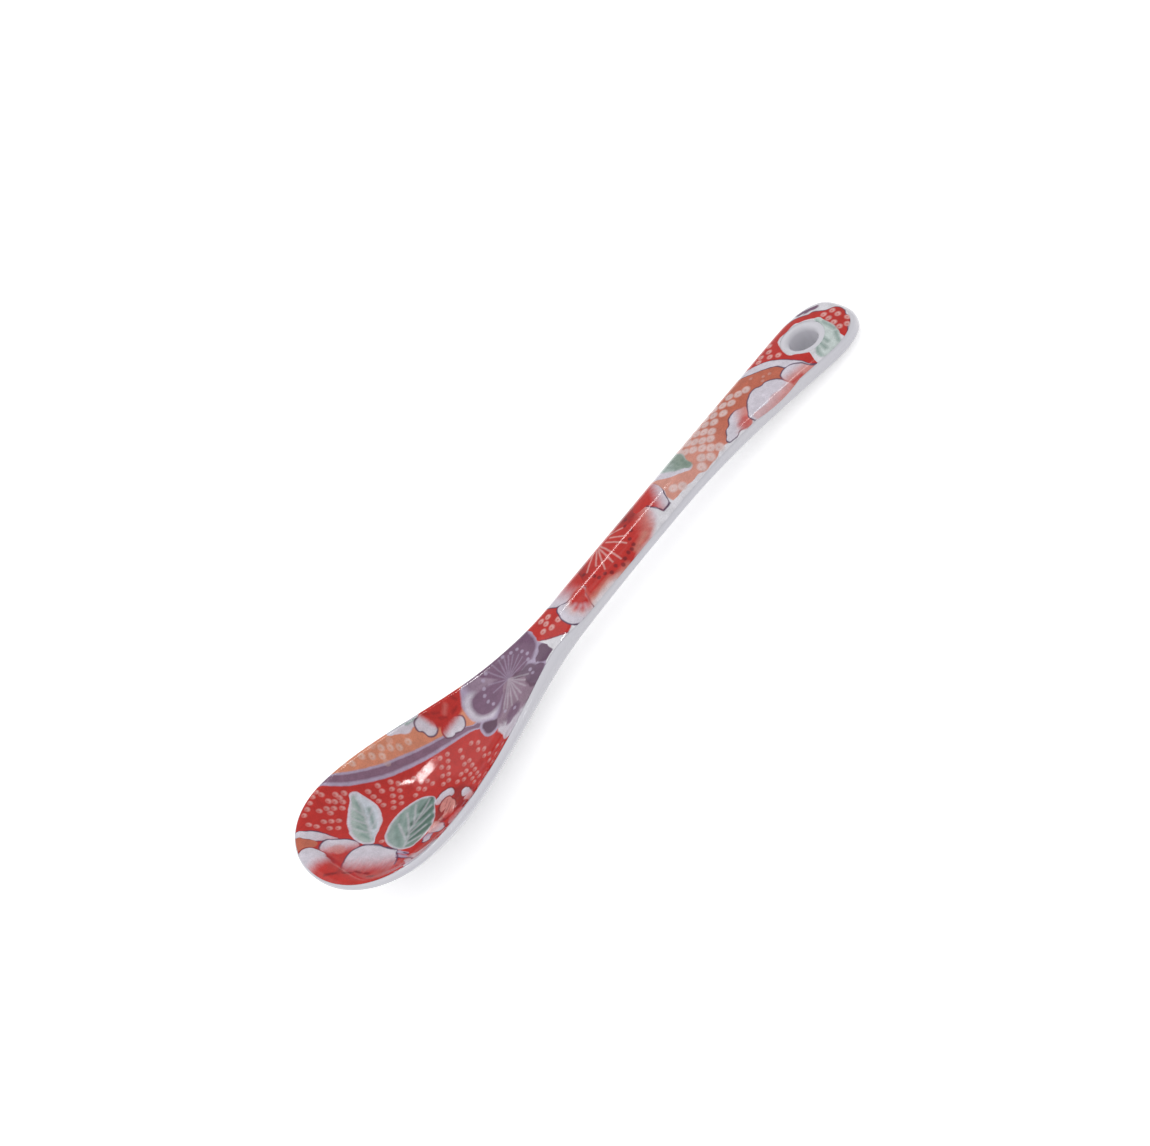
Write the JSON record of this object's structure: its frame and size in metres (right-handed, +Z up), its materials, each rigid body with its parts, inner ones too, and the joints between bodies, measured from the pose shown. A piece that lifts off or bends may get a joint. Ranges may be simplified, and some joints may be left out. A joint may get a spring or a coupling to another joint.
{
  "type": "porcelain spoon",
  "caption": "Small glazed porcelain spoon with a shallow egg-shaped bowl, an arched handle with a hanging hole, and printed floral transfers fired on its upper face.",
  "frame": {"origin": "on the table under the middle of the spoon's length and width, as it rests on its bowl and handle end", "axes": "+X from the bowl's tip to the handle's end, +Z up out of the bowl"},
  "size_m": [0.133, 0.0304, 0.0119],
  "materials": {
    "porcelain": "glossy clear glaze over white porcelain",
    "bowl_print": "printed ceramic colours fired on under a clear gloss, red ground",
    "handle_print": "printed ceramic colours fired on under a clear gloss, red and orange ground"
  },
  "bodies": {
    "root": {"porcelain_body": "porcelain", "bowl_transfer": "bowl_print", "handle_transfer": "handle_print"}
  },
  "joints": []
}
